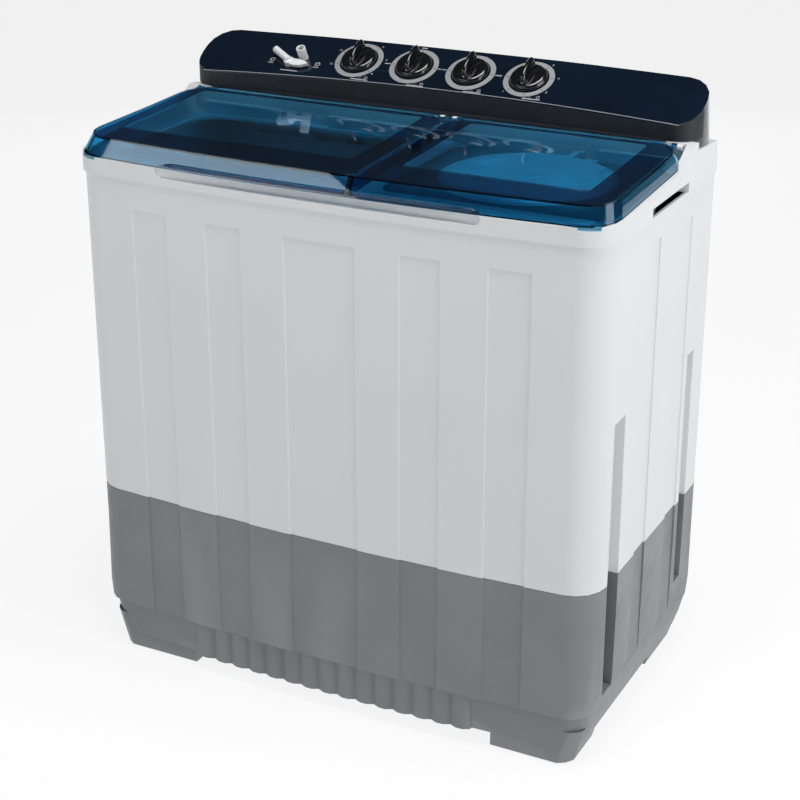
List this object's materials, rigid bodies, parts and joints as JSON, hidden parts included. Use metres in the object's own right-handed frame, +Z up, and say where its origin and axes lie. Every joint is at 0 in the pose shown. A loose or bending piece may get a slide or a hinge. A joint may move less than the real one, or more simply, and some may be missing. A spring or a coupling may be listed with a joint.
{
  "type": "twin tub washer",
  "caption": "Free-standing twin tub washing machine with a wash tub and a spin basket side by side under hinged clear lids and a rear console of rotary controls.",
  "frame": {"origin": "on the floor under the middle of the machine", "axes": "+X to the right seen from the front (spin side), +Y to the rear, +Z up; the front faces -Y"},
  "size_m": [0.886, 0.529, 0.9881],
  "materials": {
    "white": "satin white moulded plastic",
    "grey": "satin grey moulded plastic",
    "navy": "high gloss navy plastic",
    "lid_blue": "clear dark blue plastic",
    "knob_black": "gloss black plastic",
    "rubber": "matt black rubber",
    "silver": "brushed can",
    "steel": "machined steel",
    "galvanised": "zinc plated sheet",
    "natural": "natural white plastic"
  },
  "bodies": {
    "root": {"base_shell": "grey", "upper_cabinet": "white", "rear_cover": "white", "drain_outlet": "natural", "power_cord_gland": "rubber", "top_deck": "white", "wash_tub": "white", "overflow_cover": "white", "lint_filter": "natural", "wash_bearing_housing": "galvanised", "wash_shaft_seal": "rubber", "motor_plate": "galvanised", "wash_motor": "steel", "drive_belt": "rubber", "motor_capacitor": "silver", "spin_outer_tub": "white", "spin_bellows_seal": "rubber", "spin_motor": "steel", "drain_valve_body": "natural", "console_fascia": "navy", "console_housing": "navy", "wash_timer": "natural", "wash_selector_switch": "natural", "spin_timer": "natural", "inlet_port": "white", "foot_pad_front_left": "rubber", "foot_pad_front_right": "rubber", "foot_pad_rear_left": "rubber", "foot_pad_rear_right": "rubber", "rear_cover_screw_1": "steel", "rear_cover_screw_2": "steel", "rear_cover_screw_3": "steel", "rear_cover_screw_4": "steel", "wash_lid_pin_left": "steel", "wash_lid_pin_right": "steel", "spin_lid_pin_left": "steel", "spin_lid_pin_right": "steel", "spin_motor_spring_front": "steel", "spin_motor_spring_rear_left": "steel", "spin_motor_spring_rear_right": "steel"},
    "wash_lid": {"wash_lid": "lid_blue"},
    "spin_lid": {"spin_lid": "lid_blue"},
    "spin_inner_lid": {"spin_inner_lid": "white"},
    "wash_drive": {"pulsator": "natural", "pulsator_screw": "steel", "wash_shaft": "steel", "wash_pulley": "galvanised"},
    "wash_motor_rotor": {"wash_motor_shaft": "steel", "motor_pulley": "galvanised"},
    "spin_rotor": {"spin_basket": "natural", "basket_balance_ring": "natural", "spin_shaft": "steel", "brake_drum": "galvanised"},
    "wash_timer_knob": {"wash_timer_knob": "knob_black"},
    "wash_selector_knob": {"wash_selector_knob": "knob_black"},
    "drain_selector_knob": {"drain_selector_knob": "knob_black"},
    "spin_timer_knob": {"spin_timer_knob": "knob_black"},
    "inlet_selector": {"inlet_selector": "white"},
    "drain_valve_plunger": {"drain_valve_plunger": "rubber"},
    "brake_lever": {"brake_lever": "galvanised"}
  },
  "joints": [
    {"name": "wash_lid_hinge", "type": "hinge", "parent": "root", "child": "wash_lid", "pos_m": [-0.196, 0.08, 0.893], "axis": [-1, 0, 0], "range_deg": [0, 75]},
    {"name": "spin_lid_hinge", "type": "hinge", "parent": "root", "child": "spin_lid", "pos_m": [0.244, 0.08, 0.893], "axis": [-1, 0, 0], "range_deg": [0, 75]},
    {"name": "spin_inner_lid_hinge", "type": "hinge", "parent": "root", "child": "spin_inner_lid", "pos_m": [0.238, 0.082, 0.86], "axis": [-1, 0, 0], "range_deg": [0, 69]},
    {"name": "pulsator_spin", "type": "hinge", "parent": "root", "child": "wash_drive", "pos_m": [-0.19, -0.005, 0.384], "axis": [0, 0, 1], "continuous": true},
    {"name": "wash_motor_spin", "type": "hinge", "parent": "root", "child": "wash_motor_rotor", "pos_m": [-0.028, 0.04, 0.224], "axis": [0, 0, 1], "continuous": true},
    {"name": "spin_basket_spin", "type": "hinge", "parent": "root", "child": "spin_rotor", "pos_m": [0.238, -0.02, 0.405], "axis": [0, 0, 1], "continuous": true},
    {"name": "wash_timer_turn", "type": "hinge", "parent": "root", "child": "wash_timer_knob", "pos_m": [-0.15, 0.14701, 0.95323], "axis": [0, 0.4839, -0.8751], "range_deg": [0, 300]},
    {"name": "wash_selector_turn", "type": "hinge", "parent": "root", "child": "wash_selector_knob", "pos_m": [-0.05, 0.14701, 0.95323], "axis": [0, 0.4839, -0.8751], "range_deg": [-60, 60]},
    {"name": "drain_selector_turn", "type": "hinge", "parent": "root", "child": "drain_selector_knob", "pos_m": [0.05, 0.14701, 0.95323], "axis": [0, 0.4839, -0.8751], "range_deg": [0, 90]},
    {"name": "spin_timer_turn", "type": "hinge", "parent": "root", "child": "spin_timer_knob", "pos_m": [0.15, 0.14701, 0.95323], "axis": [0, 0.4839, -0.8751], "range_deg": [0, 270]},
    {"name": "inlet_selector_turn", "type": "hinge", "parent": "root", "child": "inlet_selector", "pos_m": [-0.268, 0.12425, 0.94065], "axis": [0, 0.4839, -0.8751], "range_deg": [0, 30]},
    {"name": "drain_valve_lift", "type": "slide", "parent": "root", "child": "drain_valve_plunger", "axis": [0, 0, 1], "range_m": [0, 0.012]},
    {"name": "brake_lever_swing", "type": "hinge", "parent": "root", "child": "brake_lever", "pos_m": [0.33, -0.08, 0.317], "axis": [0, 0, -1], "range_deg": [0, 6]}
  ],
  "couplings": [
    {"joint": "wash_motor_spin", "follows": "pulsator_spin", "ratio": 4},
    {"joint": "spin_inner_lid_hinge", "follows": "spin_lid_hinge", "ratio": 0.92},
    {"joint": "brake_lever_swing", "follows": "spin_lid_hinge", "ratio": 0.08},
    {"joint": "drain_valve_lift", "follows": "drain_selector_turn", "m_per_rad": 0.0076394}
  ]
}
